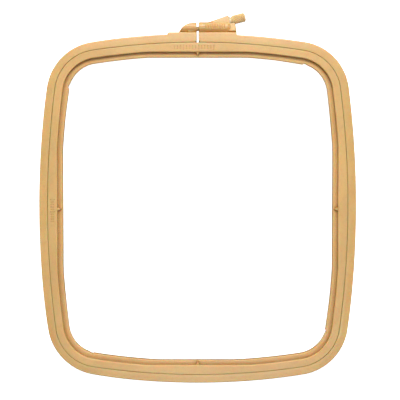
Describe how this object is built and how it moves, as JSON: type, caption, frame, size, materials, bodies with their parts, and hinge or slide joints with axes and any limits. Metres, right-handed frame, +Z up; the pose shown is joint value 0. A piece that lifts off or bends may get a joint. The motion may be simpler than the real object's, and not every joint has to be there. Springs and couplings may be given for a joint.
{
  "type": "embroidery hoop",
  "caption": "Square embroidery hoop lying flat: a split outer ring with a tilted clamp screw and knurled knob, closed round an inner ring with an inward lip.",
  "frame": {"origin": "middle of the footprint, at the height of the surface that the hoop lies on; the middle of the two rings is 7.1 mm from it along -Y, because the lugs and knob stand out on the +Y side", "axes": "+Z up out of the hoop's face, +Y towards the split and the clamp screw, +X towards the knob"},
  "size_m": [0.2072, 0.2423, 0.0095],
  "materials": {
    "outer_plastic": "satin moulded plastic in a warm beige wood tone",
    "inner_plastic": "satin moulded plastic in a warm beige wood tone",
    "knob_plastic": "satin moulded plastic with a diamond knurl",
    "screw_steel": "zinc-plated, threaded",
    "nut_steel": "zinc-plated",
    "washer_steel": "zinc-plated"
  },
  "bodies": {
    "outer_hoop": {"outer_hoop": "outer_plastic", "clamp_nut": "nut_steel"},
    "inner_hoop": {"inner_hoop": "inner_plastic"},
    "knob_washer": {"knob_washer": "washer_steel"},
    "clamp_screw": {"clamp_screw": "screw_steel", "screw_knob": "knob_plastic"}
  },
  "joints": [
    {"name": "inner_lift", "type": "slide", "parent": "outer_hoop", "child": "inner_hoop", "axis": [0, 0, 1], "range_m": [0, 0.03]},
    {"name": "screw_travel", "type": "slide", "parent": "outer_hoop", "child": "knob_washer", "axis": [0.9703, 0.2419, 0], "range_m": [0, 0.005]},
    {"name": "knob_turn", "type": "hinge", "parent": "knob_washer", "child": "clamp_screw", "pos_m": [0, 0.11077, 0.00475], "axis": [0.9703, 0.2419, 0], "range_deg": [0, 3600]}
  ],
  "couplings": [
    {"joint": "knob_turn", "follows": "screw_travel", "rad_per_m": 12566}
  ]
}
